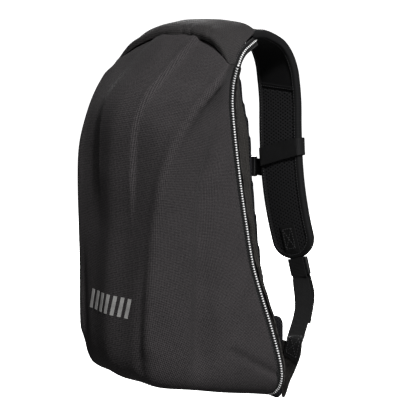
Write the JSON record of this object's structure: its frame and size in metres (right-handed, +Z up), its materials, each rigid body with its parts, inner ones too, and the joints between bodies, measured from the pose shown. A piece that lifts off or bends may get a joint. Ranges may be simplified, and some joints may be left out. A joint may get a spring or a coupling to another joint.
{
  "type": "hard shell backpack",
  "caption": "Commuter backpack with a moulded cloth-covered shell zipped to a soft padded back, two curved shoulder straps, a sternum strap and a lumbar pad.",
  "frame": {"origin": "middle of the back panel's wearer-side face, level with the strap roots, where the wearer's back carries the bag", "axes": "+Z up, +Y towards the wearer, +X towards the wearer's right hand"},
  "size_m": [0.3346, 0.2649, 0.5011],
  "materials": {
    "shell_cloth": "matte woven cloth bonded over a moulded foam shell",
    "soft_cloth": "matte woven cloth",
    "zip_tape": "woven zip tape",
    "reflective_piping": "black piping with reflective dashes",
    "spacer_mesh": "open air mesh over foam",
    "webbing": "woven nylon webbing",
    "acetal": "moulded acetal",
    "reflective_film": "heat-bonded reflective film"
  },
  "bodies": {
    "root": {"shell": "shell_cloth", "yoke": "soft_cloth", "zip_tape": "zip_tape", "piping": "reflective_piping", "gusset": "soft_cloth", "back_panel": "spacer_mesh", "lumbar_pad": "spacer_mesh", "sternum_buckle": "acetal", "reflective_patch": "reflective_film", "shoulder_pad_right": "spacer_mesh", "shoulder_pad_left": "spacer_mesh", "sternum_loop_right": "webbing", "sternum_loop_left": "webbing", "sternum_web_right": "webbing", "sternum_web_left": "webbing", "sternum_slider_right": "acetal", "sternum_slider_left": "acetal", "ladder_lock_right": "acetal", "ladder_lock_left": "acetal", "lower_web_right": "webbing", "lower_web_left": "webbing", "web_tail_right": "webbing", "web_tail_left": "webbing", "anchor_tab_right": "soft_cloth", "anchor_tab_left": "soft_cloth"}
  },
  "joints": []
}
